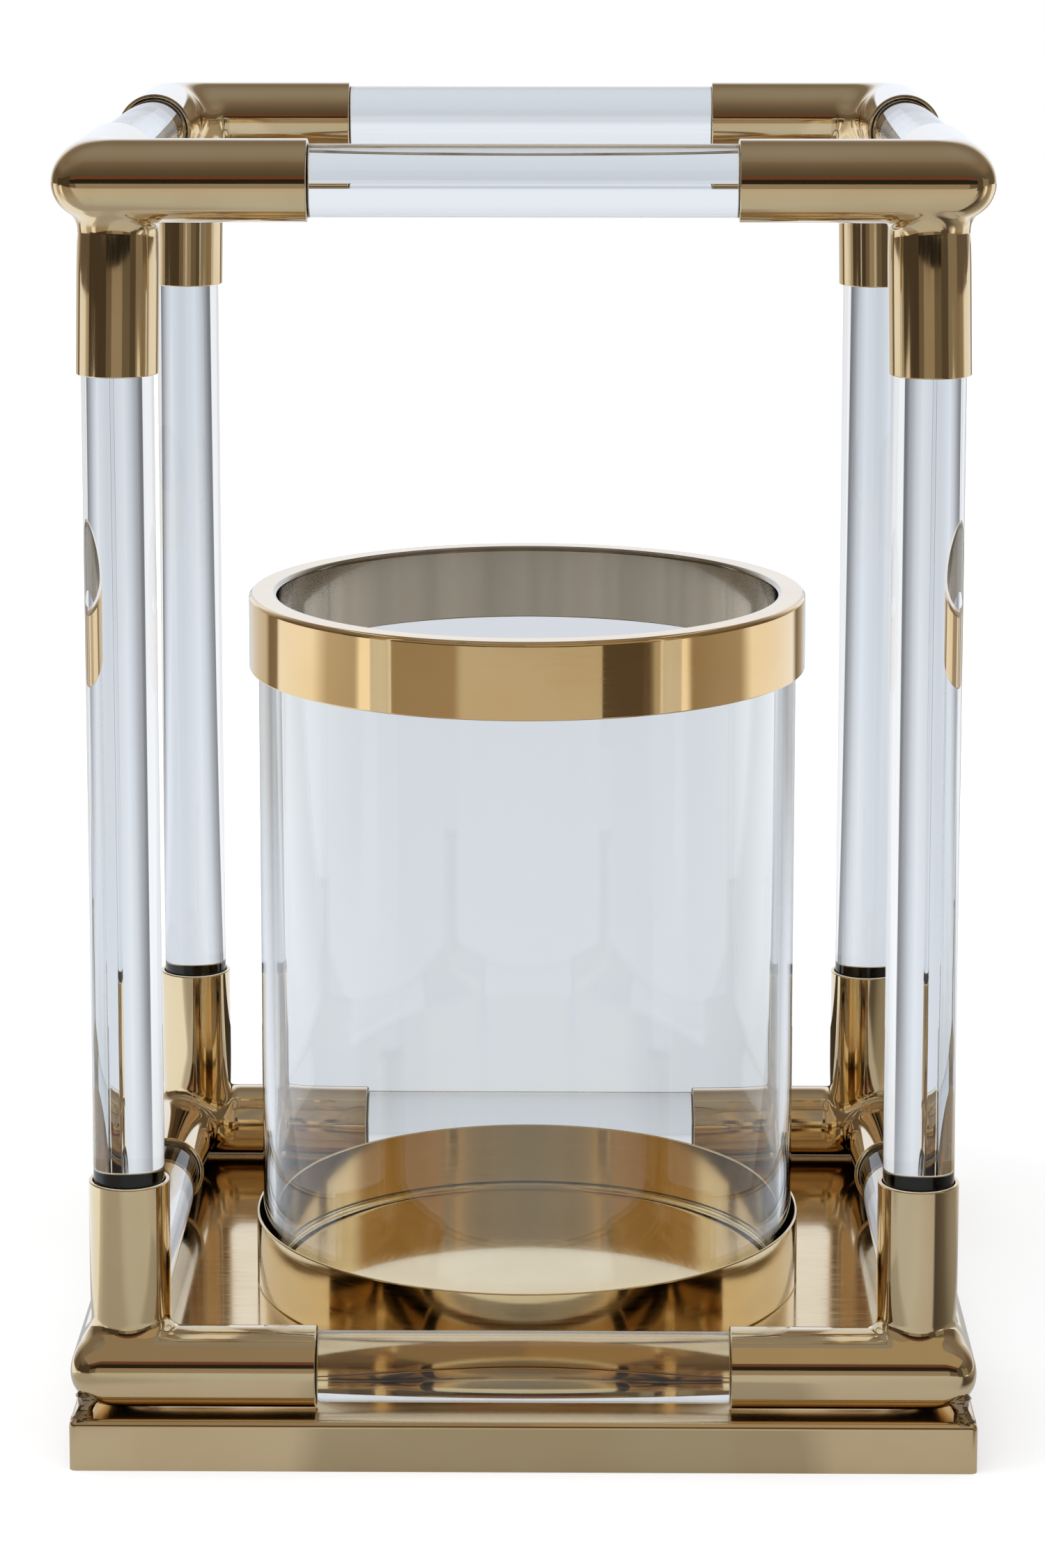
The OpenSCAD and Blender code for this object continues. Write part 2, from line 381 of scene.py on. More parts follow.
def crossings(grid, values, axis, step):
    """The edges of a grid along an axis where a field changes sign, by the index of their first ends,
    with the points on them where it is about zero, and which of them go into the solid."""
    first, second = np.delete(values, -1, axis), np.delete(values, 0, axis)
    edges = np.argwhere((first < 0) != (second < 0))
    near, far = first[tuple(edges.T)], second[tuple(edges.T)]
    points = grid[tuple(edges.T)]
    points[:, axis] += step * near / (near - far)
    return edges, points, near > 0


def net(field, low, high, step):
    """A net of quads over the surface where a field is zero, inside a box."""
    axes = [np.arange(start, end + step / 2, step) for start, end in zip(low, high)]
    grid = np.stack(np.meshgrid(*axes, indexing="ij"), axis=-1)
    values = field(grid[..., 0], grid[..., 1], grid[..., 2])
    cells = np.array(values.shape) - 1
    sums = np.zeros((cells.prod(), 3))
    hits = np.zeros(cells.prod())
    quads = []
    for axis in range(3):
        edges, points, entering = crossings(grid, values, axis, step)
        corners = []
        whole = np.ones(len(edges), bool)
        for p, q in ((-1, -1), (0, -1), (0, 0), (-1, 0)):
            cell = edges.copy()
            cell[:, (axis + 1) % 3] += p
            cell[:, (axis + 2) % 3] += q
            inside = ((cell >= 0) & (cell < cells)).all(axis=1)
            index = np.ravel_multi_index(cell.T, cells, mode="clip")
            np.add.at(sums, index[inside], points[inside])
            np.add.at(hits, index[inside], 1)
            corners.append(index)
            whole &= inside
        corners = np.stack(corners, axis=1)
        corners[entering] = corners[entering][:, ::-1]
        quads.append(corners[whole])
    quads = np.concatenate(quads)
    used, quads = np.unique(quads, return_inverse=True)
    return sums[used] / hits[used][:, None], quads.reshape(-1, 4)


SMALL_STEP = 0.01 * MM


def slope(field, points):
    """The gradient of a field, from small steps along each axis."""
    parts = []
    for step in np.eye(3) * SMALL_STEP:
        parts.append(field(*(points + step).T) - field(*(points - step).T))
    return np.stack(parts, axis=1) / (2 * SMALL_STEP)


def settle(field, points):
    """Moves points onto the surface where a field is zero."""
    for _ in range(4):
        gradient = slope(field, points)
        points = points - gradient * (field(*points.T) / (gradient ** 2).sum(axis=1))[:, None]
    return points


def open_edges(faces):
    """The edges of a net that only one quad has, as that quad's own order gives them."""
    edges = np.concatenate([faces[:, [k, (k + 1) % 4]] for k in range(4)])
    known = set(map(tuple, edges.tolist()))
    return np.array([edge for edge in known if edge[::-1] not in known])


# ---------------------------------------------------------------- corner fittings

MITRE_WELD = 9 * MM             # reach of the rounded weld along each mitre
SLEEVE_WELD = 4.2 * MM          # reach of the ground weld round the foot of each sleeve
SLEEVE_ROOT = 2 * MM            # the sleeves end this far beyond the rails' axes
SLEEVE_END = 3 * MM             # rounding of that end, inside the rails
NECK = 0.45 * MM                # the grinding of that weld also thins the sleeve a little
UPPER_LEAN = 1.1 * MM           # the upper sleeves stand out of plumb by this much over their length
SOCKET = 36 * MM                # depth of each socket, from its mouth
RIPPLE = 0.02 * MM              # the unevenness that the grinding leaves
MOUTH_LIP = 0.4 * MM            # outer easing of each mouth, and of a socket's end
BORE_LIP = 0.3 * MM             # inner easing of each mouth
NET_STEP = 0.65 * MM
RAIL_CUT = -27.5 * MM           # where the net of a corner ends and its straight tubes begin
SLEEVE_CUT = 30 * MM


def rails_field(u, v, w):
    """Two solid rails, mitred, with the outer edge of the mitre rounded. u and v point outwards."""
    return np.hypot(smooth_max(u, v, MITRE_WELD), w) - TUBE_R


def sleeve_centre(w, lean):
    """Where a sleeve's axis stands at a height, the same in u and in v."""
    return -INSET - lean * (1 - w / SLEEVE_MOUTH)


def corner_field(lean):
    """A corner fitting, solid: rails along -u and -v, and a sleeve along +w, welded and ground smooth."""
    def field(u, v, w):
        thinned = np.clip((SLEEVE_CUT - 2 * MM - w) / (SLEEVE_CUT - TUBE_R), 0, 1) ** 2
        across = np.hypot(u - sleeve_centre(w, lean), v - sleeve_centre(w, lean))
        sleeve = smooth_max(across - TUBE_R + NECK * thinned, -w - SLEEVE_ROOT, SLEEVE_END)
        rails = rails_field(u, v, w)
        weld = np.maximum(1 - np.abs(rails - sleeve) / SLEEVE_WELD, 0)
        # Waves 12 to 21 mm long.
        ripple = np.sin(500 * u + 1) * np.sin(430 * v + 300 * w) + np.sin(390 * w - 330 * u + 2)
        return smooth_min(rails, sleeve, SLEEVE_WELD) + RIPPLE * weld * ripple
    return field


def socket_profile(start, mouth):
    """The wall of a socket from the net's edge round its lip and down its bore, which ends flat."""
    found = [((TUBE_R, start + (mouth - start) * k / 4), (1, 0)) for k in range(1, 4)]
    found += arc((TUBE_R - MOUTH_LIP, mouth - MOUTH_LIP), MOUTH_LIP, 0, 90, steps=4)
    found += arc((BORE_R + BORE_LIP, mouth - BORE_LIP), BORE_LIP, 90, 180, steps=3)
    found += arc((BORE_R - MOUTH_LIP, mouth - SOCKET + MOUTH_LIP), -MOUTH_LIP, 180, 90, steps=3)
    return found


def socket_tube(vertices, edges, axis, mouth, lean, count):
    """The rest of a tube beyond the net: points, normals and faces. It rounds the net's own rim to the
    tube first. count is the number of points that the corner has already."""
    cut = SLEEVE_CUT if axis == 2 else RAIL_CUT
    ring, edges = np.unique(edges, return_inverse=True)
    edges = edges.reshape(-1, 2)
    others = [k for k in range(3) if k != axis]
    tilted = (lambda w: sleeve_centre(w, lean)) if axis == 2 else (lambda w: 0.0)
    plumb = -INSET if axis == 2 else 0.0
    centre = np.full(2, tilted(cut))
    spoke = vertices[ring][:, others] - centre
    spoke /= np.linalg.norm(spoke, axis=1)[:, None]
    vertices[ring, axis] = cut
    vertices[np.ix_(ring, others)] = centre + spoke * TUBE_R
    last = ring
    sign = 1 if mouth > 0 else -1
    points, normals, faces = [], [], []
    for (radius, along), (out, ahead) in socket_profile(abs(cut), abs(mouth)):
        place, facing = np.empty((2, len(ring), 3))
        place[:, axis] = sign * along
        place[:, others] = spoke * radius + (tilted(sign * along) if radius > BORE_R else plumb)
        facing[:, axis] = sign * ahead
        facing[:, others] = spoke * out
        points.append(place)
        normals.append(facing)
        fresh = np.arange(len(ring)) + count
        count += len(ring)
        faces += [(last[b], last[a], fresh[a], fresh[b]) for a, b in edges]
        last = fresh
    end, facing = np.zeros((2, 1, 3))
    end[0, axis] = sign * (abs(mouth) - SOCKET)
    end[0, others] = plumb
    facing[0, axis] = sign
    faces += [(last[b], last[a], count) for a, b in edges]
    return np.concatenate([*points, end]), np.concatenate([*normals, facing]), faces


def corner_mesh(lean):
    """Vertices, faces and normals of a corner fitting, in its own u, v and w."""
    field = corner_field(lean)
    low = (RAIL_CUT - NET_STEP / 2, RAIL_CUT - NET_STEP / 2, -TUBE_R - 2 * NET_STEP)
    high = (TUBE_R + 2 * NET_STEP, TUBE_R + 2 * NET_STEP, SLEEVE_CUT + NET_STEP / 2)
    vertices, quads = net(field, low, high, NET_STEP)
    vertices = settle(field, vertices)
    normals = slope(field, vertices)
    rims = open_edges(quads)
    faces = quads.tolist()
    points, count = [vertices], len(vertices)
    for axis, mouth in ((0, -ARM_MOUTH), (1, -ARM_MOUTH), (2, SLEEVE_MOUTH)):
        cut = SLEEVE_CUT if axis == 2 else RAIL_CUT
        edges = rims[np.abs(vertices[rims[:, 0], axis] - cut) < NET_STEP]
        tube, facing, more = socket_tube(vertices, edges, axis, mouth, lean, count)
        points.append(tube)
        normals = np.concatenate([normals, facing])
        faces += more
        count += len(tube)
    return np.concatenate(points), faces, normals / np.linalg.norm(normals, axis=1)[:, None]


SIDES = {"left": -1, "right": 1}
FACES = {"front": -1, "back": 1}
# Height of the rails' axes, which way the sleeves point, and how much these lean.
LEVELS = {"lower": (LOWER_Z, 1, 0.0), "upper": (UPPER_Z, -1, UPPER_LEAN)}


def at_corners(points, faces, normals, height, up):
    """The mesh of a corner, mirrored to each of the four corners at a height, and upside down if up
    is -1: face, side and the mesh's points, faces and normals."""
    for face, y in FACES.items():
        for side, x in SIDES.items():
            mirror = np.array([x, y, up])
            place = points * mirror + np.array([x * RAIL_AXIS, y * RAIL_AXIS, height])
            order = faces if mirror.prod() > 0 else [f[::-1] for f in faces]
            yield face, side, (place, order, normals * mirror)


def corner_fittings(material):
    """All eight corners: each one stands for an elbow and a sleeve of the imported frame."""
    for level, (height, up, lean) in LEVELS.items():
        for face, side, mesh in at_corners(*corner_mesh(lean), height, up):
            made = piece(f"{level}_corner_{face}_{side}", "frame", "polished_gold", material, *mesh)
            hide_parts(f"{level}_elbow_{face}_{side}", f"{level}_sleeve_{face}_{side}", "tack_welds")


corner_fittings(polished)


# ---------------------------------------------------------------- welds between frame and pan

WELD_TOP = np.array([7.0, 7.0, -8.0]) * MM      # in a corner's u, v and w, inside the tube
WELD_SINK = 0.6 * MM                            # how far a weld's foot goes into the pan's sheet
WELD_FOOT = np.array([8.3 * MM, 8.3 * MM, PAN_TOP - LOWER_Z - WELD_SINK])
WELD_WAIST = 2.3 * MM                           # radius halfway
WELD_FLARE = 1.5 * MM                           # added at both ends
WELD_LUMPS = 0.22 * MM
WELD_STEP = 0.3 * MM                            # of the net
WELD_ROOM = 5 * MM                              # from the ends of a weld's middle line to the net's edge
WELD_FLUSH = TUBE_R - 0.3 * MM                  # no weld stands further out than this


def weld_field(u, v, w):
    """A lumpy necked weld, solid, from the underside of a corner to the corner of the pan."""
    reach = WELD_FOOT - WELD_TOP
    point = (u, v, w)
    along = sum((a - start) * step for a, start, step in zip(point, WELD_TOP, reach))
    share = np.clip(along / reach.dot(reach), 0, 1)
    away = [a - (start + share * step) for a, start, step in zip(point, WELD_TOP, reach)]
    # Waves 3 to 10 mm long.
    lumps = np.sin(1700 * w + 800 * u) * np.sin(1400 * v - 650 * w + 1)
    lumps += 0.4 * np.sin(2400 * u - 2000 * v + 2)
    radius = WELD_WAIST + WELD_FLARE * (2 * share - 1) ** 2 + WELD_LUMPS * lumps
    return np.sqrt(away[0] ** 2 + away[1] ** 2 + away[2] ** 2) - radius


def pan_corner_welds(material):
    """The four welds that carry the frame on the pan."""
    low = np.minimum(WELD_TOP, WELD_FOOT) - WELD_ROOM
    high = np.maximum(WELD_TOP, WELD_FOOT) + WELD_ROOM
    vertices, quads = net(weld_field, low, high, WELD_STEP)
    vertices = settle(weld_field, vertices)
    vertices[:, :2] = np.minimum(vertices[:, :2], WELD_FLUSH)
    normals = slope(weld_field, vertices)
    normals /= np.linalg.norm(normals, axis=1)[:, None]
    for face, side, mesh in at_corners(vertices, quads.tolist(), normals, LOWER_Z, 1):
        made = piece(f"pan_weld_{face}_{side}", "frame", "polished_gold", material, *mesh)
        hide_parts("pan_welds")


pan_corner_welds(weld_gold)


# ---------------------------------------------------------------- turned pieces

def turned(name, body, slot, material, profile, axis=2, centre=(0, 0, 0), segments=256):
    """A closed solid of revolution. The profile runs anticlockwise in radius and height; where it
    starts and ends on the axis it is closed there by single points."""
    angles = np.arange(segments) * 2 * math.pi / segments
    others = [(axis + 1) % 3, (axis + 2) % 3]
    spoke = np.zeros((segments, 3))
    spoke[:, others[0]] = np.cos(angles)
    spoke[:, others[1]] = np.sin(angles)
    up = np.zeros(3)
    up[axis] = 1
    points, normals, rings = [], [], []
    count = 0
    for (radius, height), (out, ahead) in profile:
        single = radius < 0.001 * MM
        rows = spoke[:1] * 0 if single else spoke
        points.append(rows * radius + up * height)
        normals.append(rows * out + up * ahead)
        rings.append([count] * segments if single else list(range(count, count + segments)))
        count += len(rows)
    pairs = list(zip(rings, rings[1:]))
    if rings[0][0] != rings[0][1]:
        pairs.append((rings[-1], rings[0]))
    faces = []
    for low, high in pairs:
        for k in range(segments):
            after = (k + 1) % segments
            quad = (low[k], low[after], high[after], high[k])
            faces.append(tuple(dict.fromkeys(quad)))
    points = np.concatenate(points) + np.array(centre)
    return piece(name, body, slot, material, points, faces, np.concatenate(normals))


def rod(name, axis):
    """A clear rod with its ends eased."""
    low, high = span(name, axis)
    radius = half(name, (axis + 1) % 3)
    length = high - low
    ease = 0.6 * MM
    profile = [((0, 0), (0, -1)), *arc((radius - ease, ease), ease, -90, 0)]
    profile += [*arc((radius - ease, length - ease), ease, 0, 90), ((0, length), (0, 1))]
    centre = [middle(name, k) for k in range(3)]
    centre[axis] = low
    made = turned(f"{name}_rod", "frame", "clear_acrylic", acrylic, profile, axis, centre, segments=192)
    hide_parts(name)


def rods():
    """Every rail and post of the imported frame."""
    for name in list(nodes):
        if name.startswith("post"):
            rod(name, 2)
        elif "rail" in name:
            rod(name, 1 if name.endswith(("left", "right")) else 0)


def dish():
    """The spun dish: a wall with a rolled edge and a small radius where it meets the floor."""
    low, high = span("candle_dish", 2)
    outer = half("candle_dish", 0)
    inner = outer - SHEET
    edge = SHEET / 2
    foot = 0.8 * MM
    cove = 1.6 * MM
    floor_z = low + SHEET
    profile = [((0, low), (0, -1)), *arc((outer - foot, low + foot), foot, -90, 0)]
    profile += arc((outer - edge, high - edge), edge, 0, 180, steps=10)
    profile += arc((inner - cove, floor_z + cove), -cove, 180, 90, steps=8)
    profile += [((0, floor_z), (0, 1))]
    made = turned("dish", "frame", "brushed_gold", brushed, profile)
    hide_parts("candle_dish")


def hurricane():
    """The glass cylinder, its four edges fire-polished round."""
    low, high = span("glass_cylinder", 2)
    outer = half("glass_cylinder", 0)
    inner = outer - GLASS_WALL
    edge = 1.5 * MM
    profile = arc((outer - edge, low + edge), edge, -90, 0)
    profile += arc((outer - edge, high - edge), edge, 0, 90)
    profile += arc((inner + edge, high - edge), edge, 90, 180)
    profile += arc((inner + edge, low + edge), edge, 180, 270)
    made = turned("hurricane_glass", "glass", "glass", glass, profile)
    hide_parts("glass_cylinder")


COLLAR_ROOM = 1.4 * MM          # between the glass and the collar's inner leg


def collar():
    """The rim collar: a folded channel with rounded shoulders and eased lower edges."""
    low, high = span("rim_collar", 2)
    outer = half("rim_collar", 0)
    bore = half("glass_cylinder", 0) - GLASS_WALL - COLLAR_ROOM - SHEET
    shoulder = 1.6 * MM
    edge = SHEET / 2
    inside = shoulder - SHEET
    profile = arc((outer - edge, low + edge), edge, -90, 0)
    profile += arc((outer - shoulder, high - shoulder), shoulder, 0, 90, steps=8)
    profile += arc((bore + shoulder, high - shoulder), shoulder, 90, 180, steps=8)
    profile += arc((bore + edge, low + edge), edge, 180, 360, steps=12)
    profile += arc((bore + shoulder, high - shoulder), -inside, 0, -90)
    profile += arc((outer - shoulder, high - shoulder), -inside, -90, -180)
    profile += arc((outer - edge, low + edge), edge, 180, 270)[:-1]
    made = turned("collar", "collar", "brushed_gold", collar_gold, profile)
    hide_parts("rim_collar")


rods()
dish()
hurricane()
collar()


# ---------------------------------------------------------------- pieces kept as imported

def dress(node, material):
    """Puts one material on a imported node."""
    slots = nodes[node].material_slots
    if not slots:
        nodes[node].data.materials.append(material)
    for slot in nodes[node].material_slots:
        slot.material = material


dress("base_pan", pan_gold)


# ---------------------------------------------------------------- studio

def card(name, corners, colour, top=None):
    """A flat panel of the studio that only reflections show, fading upwards to a top colour if given."""
    mesh = bpy.data.meshes.new(name)
    mesh.from_pydata([Vector(c) for c in corners], [], [range(len(corners))])
    material, tree = new_material(name)
    if top:
        z = split(tree, object_point(tree))["Z"]
        heights = [c[2] for c in corners]
        colour = mix_colour(tree, ramp(tree, z, min(heights), max(heights)), colour, top)
    output(tree, add(tree, "ShaderNodeEmission", {"Color": colour}).outputs["Emission"])
    mesh.materials.append(material)
    panel = bpy.data.objects.new(name, mesh)
    bpy.context.scene.collection.objects.link(panel)
    panel.visible_camera = False
    panel.visible_diffuse = False
    panel.visible_transmission = False
    panel.visible_shadow = False


def upright(name, start, end, z, colour, top=None):
    """An upright card over a line from start to end, each an x and a y, between two heights."""
    low, high = z
    card(name, [(*start, low), (*end, low), (*end, high), (*start, high)], colour, top)


SIDE_WHITE = (1.0, 1.02, 1.05)
BACK_WHITE = (0.92, 0.97, 1.06)
BACKDROP = (0.88, 0.91, 0.95)
DUSK = (0.23, 0.195, 0.16)
ZENITH = (0.31, 0.30, 0.285)
UMBER = (0.10, 0.08, 0.06)
DARK_UMBER = (0.07, 0.055, 0.04)
SAND = (0.26, 0.23, 0.18)
SOFT_LIGHT = (0.62, 0.62, 0.62)
WHITE = (1.0, 1.0, 1.0)

# Colours of the studio by azimuth in degrees. Clear solids show the first list, metal the others: the
# table close by, the room, and the table further out.
THROUGH_STOPS = (
    (0, (0.71, 0.745, 0.785)),
    (12, (0.82, 0.85, 0.89)),
    (19, (0.66, 0.69, 0.73)),
    (27, (0.38, 0.39, 0.41)),
    (33, (0.20, 0.205, 0.22)),
    (36, (0.20, 0.205, 0.22)),
    (37, (1.0, 1.0, 1.0)),
    (90, (0.97, 0.97, 0.97)),
    (98, (0.46, 0.32, 0.16)),
    (118, (0.38, 0.25, 0.11)),
    (138, (0.36, 0.24, 0.12)),
    (146, (0.55, 0.42, 0.26)),
    (153, (0.28, 0.25, 0.22)),
    (180, (0.22, 0.22, 0.24)),
)
NEAR_STOPS = (
    (-180, (0.60, 0.60, 0.60)),
    (-130, (0.93, 1.00, 1.08)),
    (-71, (0.93, 1.00, 1.08)),
    (-68, (0.59, 0.585, 0.57)),
    (-60, (0.41, 0.41, 0.39)),
    (-52, (0.38, 0.375, 0.37)),
    (-33, (0.39, 0.385, 0.38)),
    (-27, (0.46, 0.49, 0.49)),
    (-21, (0.50, 0.54, 0.55)),
    (2, (0.50, 0.53, 0.53)),
    (16, (0.52, 0.55, 0.55)),
    (34, (0.49, 0.485, 0.47)),
    (42, (0.48, 0.46, 0.45)),
    (45, (0.05, 0.04, 0.04)),
    (49, (0.06, 0.045, 0.04)),
    (54, (0.08, 0.06, 0.045)),
    (61, (0.11, 0.10, 0.075)),
    (69, (0.20, 0.19, 0.16)),
    (79, (0.28, 0.26, 0.22)),
    (93, (0.31, 0.285, 0.25)),
    (112, (0.60, 0.56, 0.48)),
    (180, (0.60, 0.60, 0.60)),
)
ROOM_STOPS = (
    (-180, BACK_WHITE),
    (-150, BACK_WHITE),
    (-143, (0.62, 0.58, 0.52)),
    (-120, (0.14, 0.11, 0.085)),
    (120, (0.14, 0.11, 0.085)),
    (143, (0.62, 0.58, 0.52)),
    (150, BACK_WHITE),
    (180, BACK_WHITE),
)
FAR_STOPS = (
    (-180, BACK_WHITE),
    (-150, (0.74, 0.71, 0.64)),
    (-132, (0.62, 0.57, 0.47)),
    (-128, (0.22, 0.17, 0.11)),
    (-121, (0.24, 0.19, 0.13)),
    (-119, SIDE_WHITE),
    (-95, SIDE_WHITE),
    (-86, (0.52, 0.48, 0.41)),
    (-71, (0.43, 0.39, 0.32)),
    (-69, (1.0, 0.98, 0.94)),
    (-60, (1.0, 0.98, 0.94)),
    (-57, (0.29, 0.23, 0.16)),
    (-28, (0.34, 0.28, 0.21)),
    (-25, (0.56, 0.54, 0.50)),
    (33, (0.56, 0.54, 0.50)),
    (36, (0.11, 0.085, 0.06)),
    (50, (0.11, 0.085, 0.06)),
    (52, (0.45, 0.41, 0.35)),
    (57, (0.50, 0.46, 0.40)),
    (59, (1.0, 0.98, 0.94)),
    (66, (1.0, 0.98, 0.94)),
    (69, (0.29, 0.23, 0.16)),
    (84, (0.36, 0.31, 0.25)),
    (95, (0.40, 0.35, 0.28)),
    (102, SIDE_WHITE),
    (138, SIDE_WHITE),
    (143, (0.22, 0.17, 0.11)),
    (150, (0.40, 0.34, 0.25)),
    (160, (0.74, 0.71, 0.64)),
    (180, BACK_WHITE),
)


def colour_stops(tree, value, stops):
    """A colour ramp over a value from 0 to 1. stops pairs a place on it with a colour."""
    made = add(tree, "ShaderNodeValToRGB", {"Fac": value})
    elements = made.color_ramp.elements
    while len(elements) < len(stops):
        elements.new(1.0)
    for element, (place, colour) in zip(elements, stops):
        element.position = place
        element.color = (*colour, 1.0)
    return made.outputs["Color"]


def seen_through(tree, x, y):
    """What clear solids show of the studio, by azimuth from straight behind: a cool backdrop that
    darkens to a sharp edge, then white sides; in front, the darker room."""
    azimuth = math_node(tree, "ABSOLUTE", math_node(tree, "ARCTAN2", x, y))
    stops = [(degrees / 180, colour) for degrees, colour in THROUGH_STOPS]
    return colour_stops(tree, math_node(tree, "DIVIDE", azimuth, math.pi), stops)


def mirrored_around(tree, x, y, stops):
    """What metal shows of the studio, by azimuth from straight in front, positive to the right."""
    azimuth = math_node(tree, "ARCTAN2", x, math_node(tree, "MULTIPLY", y, -1.0))
    turn = math_node(tree, "ADD", math_node(tree, "DIVIDE", azimuth, 2 * math.pi), 0.5)
    return colour_stops(tree, turn, [(degrees / 360 + 0.5, colour) for degrees, colour in stops])


FLOOR_HALF = 4.0
FLOOR_GREY = 0.5                # its own colour, except in reflections
FLOOR_DULL = 0.2                # its own colour in reflections
FLOOR_WHITE = (1.0, 1.5)        # what the camera is to see of it, near the object and far away
FLOOR_FADE = (0.25, 0.7)        # distances from the middle between which that grows
TABLE_GREY = (0.50, 0.50, 0.50)
TABLE_PATCH = (0.36, 0.36, 0.35)
TABLE_THROUGH = (0.68, 0.69, 0.70)
THROUGH_FADE = (0.3, -0.2)      # y between which clear solids go over from the backdrop to that
PATCH_X = 0.012                 # the middle of the patch, and the half widths between which it fades
PATCH_FADE = (0.075, 0.085)
NEAR_FADE = (0.215, 0.24)       # distances between which the near ring fades in, and the far one
FAR_FADE = (0.45, 0.85)
BACK_FADE = (0.15, 0.3)         # y between which the back turns white, and distances where it ends
BACK_END = (0.9, 0.5)


def table_mirrored(tree, x, y):
    """What metal shows of the table: a darker patch before and behind the object, rings of the studio's
    colours further out, and white at the back."""
    away = from_axis(tree, x, y)[1]
    beside = math_node(tree, "ABSOLUTE", math_node(tree, "SUBTRACT", x, PATCH_X))
    mirrored = mix_colour(tree, ramp(tree, beside, *PATCH_FADE), TABLE_PATCH, TABLE_GREY)
    for fade, stops in ((NEAR_FADE, NEAR_STOPS), (FAR_FADE, FAR_STOPS)):
        ring = mirrored_around(tree, x, y, stops)
        mirrored = mix_colour(tree, ramp(tree, away, *fade), mirrored, ring)
    back = math_node(tree, "MULTIPLY", ramp(tree, y, *BACK_FADE), ramp(tree, away, *BACK_END))
    return mix_colour(tree, back, mirrored, BACK_WHITE)


def table_through(tree, x, y):
    """What clear solids show of the table: the backdrop's colours by azimuth from the front posts, and
    an even grey towards the front."""
    out = math_node(tree, "SUBTRACT", math_node(tree, "ABSOLUTE", x), POST_AXIS)
    out = math_node(tree, "MAXIMUM", out, 0.0)
    through = seen_through(tree, out, math_node(tree, "ADD", y, POST_AXIS))
    return mix_colour(tree, ramp(tree, y, *THROUGH_FADE), through, TABLE_THROUGH)


def floor():
    """A pale floor: white to the camera apart from the object's shadow. Its emission makes up the
    difference between its own colour and what each kind of ray is to see."""
    mesh = bpy.data.meshes.new("floor")
    corners = [(-1, -1), (1, -1), (1, 1), (-1, 1)]
    mesh.from_pydata([(x * FLOOR_HALF, y * FLOOR_HALF, 0) for x, y in corners], [], [range(4)])
    material, tree = new_material("floor")
    path = add(tree, "ShaderNodeLightPath").outputs
    x, y = split(tree, object_point(tree))[:2]
    base = mix_colour(tree, path["Is Glossy Ray"], [FLOOR_GREY] * 3, [FLOOR_DULL] * 3)
    shown = mix_colour(tree, path["Is Glossy Ray"], [FLOOR_GREY] * 3, table_mirrored(tree, x, y))
    shown = mix_colour(tree, path["Is Transmission Ray"], shown, table_through(tree, x, y))
    grown = add(tree, "ShaderNodeVectorMath", {0: shown, 1: base}, operation="SUBTRACT").outputs[0]
    away = from_axis(tree, x, y)[1]
    plain = ramp(tree, away, *FLOOR_FADE, *[white - FLOOR_GREY for white in FLOOR_WHITE])
    surface = {
        "Base Color": base,
        "Roughness": 0.9,
        "Specular IOR Level": 0.0,
        "Emission Strength": 1.0,
        "Emission Color": mix_colour(tree, path["Is Camera Ray"], grown, plain),
    }
    output(tree, add(tree, "ShaderNodeBsdfPrincipled", surface).outputs["BSDF"])
    mesh.materials.append(material)
    made = bpy.data.objects.new("floor", mesh)
    bpy.context.scene.collection.objects.link(made)


DUSK_FADE = (0.35, 0.62)        # heights of a direction, 0 level to 1 overhead
ZENITH_FADE = (0.8, 1.0)
BACKDROP_LOW = (0.0, 0.1)       # the even backdrop: from the horizon up, and towards the back
BACKDROP_SIDE = (0.0, 0.3)


def world():
    """White to the camera; a plain soft box to diffuse light; to metal and clear solids, the studio."""
    made = bpy.data.worlds.new("studio")
    made.use_nodes = True
    tree = made.node_tree
    tree.nodes.clear()
    path = add(tree, "ShaderNodeLightPath").outputs
    x, y, z = split(tree, add(tree, "ShaderNodeTexCoord").outputs["Generated"])
    mirrored = mirrored_around(tree, x, y, ROOM_STOPS)
    mirrored = mix_colour(tree, ramp(tree, z, *DUSK_FADE), mirrored, DUSK)
    mirrored = mix_colour(tree, ramp(tree, z, *ZENITH_FADE), mirrored, ZENITH)
    colour = mix_colour(tree, path["Is Glossy Ray"], SOFT_LIGHT, mirrored)
    above = math_node(tree, "MULTIPLY", ramp(tree, z, *BACKDROP_LOW), ramp(tree, y, *BACKDROP_SIDE))
    through = mix_colour(tree, above, seen_through(tree, x, y), BACKDROP)
    colour = mix_colour(tree, path["Is Transmission Ray"], colour, through)
    colour = mix_colour(tree, path["Is Camera Ray"], colour, WHITE)
    background = add(tree, "ShaderNodeBackground", {"Color": colour})
    add(tree, "ShaderNodeOutputWorld", {"Surface": background.outputs[0]})
    bpy.context.scene.world = made


WALL_X = 2.4                    # half the width of the room that the cards make
WALL_Y = -1.5                   # its wall, behind the camera
LOW_Y = -1.45                   # the low cards at the wall's foot
NEAR_Y = -1.4                   # the side cards, a little nearer
LOW_TOP = 0.30
RUSSET = (0.60, 0.80)           # lowest and highest edge of the russet band on the wall
WALL_TOP = 2.6
SIDE_TOP = 0.9
OVER_Z = UPPER_Z + 0.6 * MM     # level cards, just over the upper rails' axes


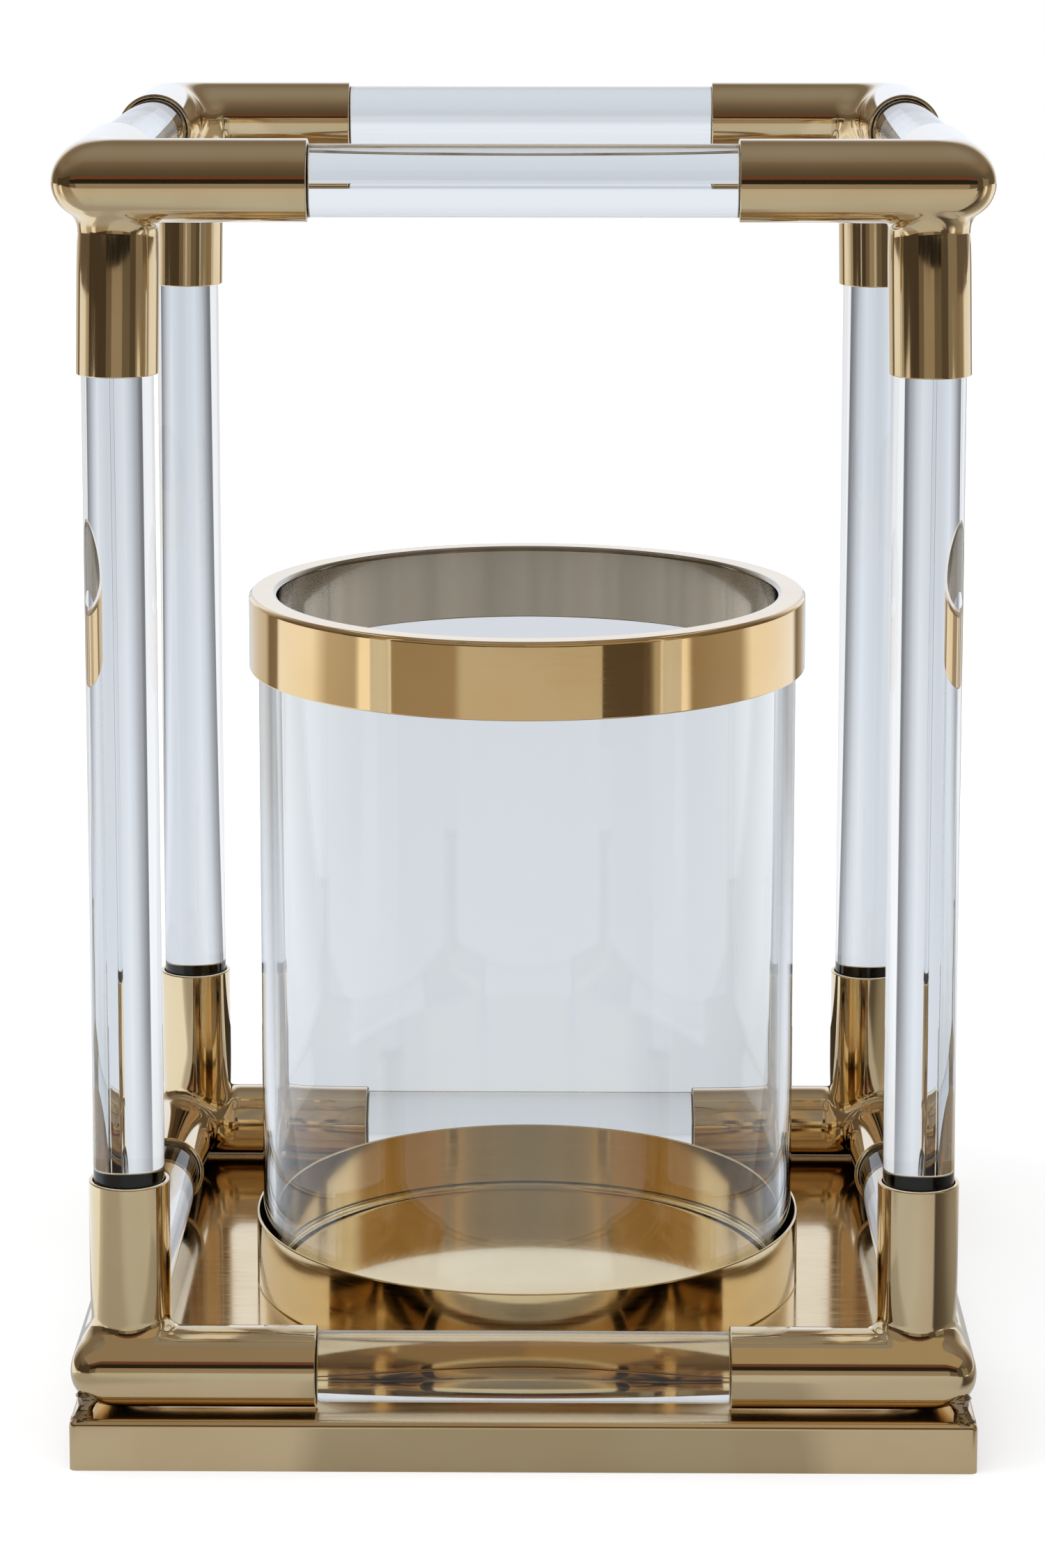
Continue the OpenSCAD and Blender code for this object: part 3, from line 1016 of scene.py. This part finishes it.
def wall_cards():
    """A dark strip close behind the pan, under the back rails: painted shadow, shown only in reflections,
    for the floor's shade there. Then the wall behind the camera: black, then russet, then umber up to dusk,
    with lighter low cards at its foot."""
    # Painted shadow: a near-black card, seen only in reflections, where the floor behind the pan is in
    # shade.
    upright("card_painted_shadow_behind", (-0.135, 0.2), (0.135, 0.2), (0.012, 0.044), (0.05, 0.04, 0.03))
    left, right = (-WALL_X, WALL_Y), (WALL_X, WALL_Y)
    upright("card_slot", left, right, (LOW_TOP, RUSSET[0]), (0.02, 0.018, 0.015))
    upright("card_russet", left, right, RUSSET, (0.17, 0.065, 0.04))
    upright("card_front", left, right, (RUSSET[1], WALL_TOP), UMBER, DUSK)
    for name, start, end, colour in (
            ("card_low_left", -0.80, -0.39, (0.17, 0.14, 0.10)),
            ("card_low_middle", -0.39, 0.30, (0.34, 0.29, 0.23)),
            ("card_low_right", 0.30, 0.95, (0.16, 0.135, 0.10))):
        upright(name, (start, LOW_Y), (end, LOW_Y), (0.0, LOW_TOP), colour)


def over_cards():
    """Level cards before the object: the upper halves of the upper rails mirror them, not the floor."""
    for name, low, high, colour in (
            ("card_over_left", -0.6, 0.0, (0.32, 0.27, 0.21)),
            ("card_over_right", 0.0, 0.6, (0.42, 0.35, 0.24))):
        corners = [(low, -0.76), (high, -0.76), (high, -0.22), (low, -0.22)]
        card(name, [(x, y, OVER_Z) for x, y in corners], colour)


def side_cards():
    """The sides of the room, from the camera's left and right to the walls beside the object."""
    upright("card_left", (-WALL_X, NEAR_Y), (-0.76, NEAR_Y), (0.0, SIDE_TOP), DARK_UMBER)
    upright("card_far_right", (1.35, NEAR_Y), (WALL_X, NEAR_Y), (0.0, SIDE_TOP), SAND)
    upright("card_right", (0.53, -0.93), (0.78, -0.74), (0.0, 0.6), UMBER)
    upright("card_far_left", (-WALL_X, NEAR_Y), (-WALL_X, -0.5), (0.0, SIDE_TOP), DARK_UMBER)
    upright("card_beside_right", (WALL_X, NEAR_Y), (WALL_X, -0.7), (0.0, SIDE_TOP), SAND)


def lamp(name, place, target, size, power):
    """A soft box that lights the floor and the object; the cards stand for it in reflections."""
    data = bpy.data.lights.new(name, "AREA")
    data.shape = "RECTANGLE"
    data.size, data.size_y = size
    data.energy = power
    made = bpy.data.objects.new(name, data)
    made.location = place
    made.rotation_euler = (Vector(target) - Vector(place)).to_track_quat("-Z", "Y").to_euler()
    made.visible_glossy = False
    made.visible_transmission = False
    bpy.context.scene.collection.objects.link(made)


CAMERA_PLACE = (0.0133, -1.4198, 0.5112)
CAMERA_TILT = 9.031             # degrees down
CAMERA_TURN = 0.6               # degrees to the left


def camera():
    """The photograph's viewpoint. Most of its rise is a shifted lens; here the camera tilts instead."""
    data = bpy.data.cameras.new("camera")
    data.lens = 100.16
    data.sensor_width = 36.0
    data.shift_y = -0.19
    data.clip_start = 0.05
    made = bpy.data.objects.new("camera", data)
    made.location = CAMERA_PLACE
    made.rotation_euler = (math.radians(90 - CAMERA_TILT), 0, math.radians(CAMERA_TURN))
    bpy.context.scene.collection.objects.link(made)
    bpy.context.scene.camera = made


floor()
world()
camera()
wall_cards()
over_cards()
side_cards()
lamp("lamp_top", (-0.3, -0.4, 1.6), target=(0, 0, 0.1), size=(1.6, 1.6), power=17)
lamp("lamp_left", (-1.6, -0.6, 0.9), target=(0, 0, 0.2), size=(1.0, 1.4), power=6)
lamp("lamp_right", (1.6, -0.4, 0.9), target=(0, 0, 0.2), size=(1.0, 1.4), power=6)

scene = bpy.context.scene
scene.view_settings.view_transform = "Standard"
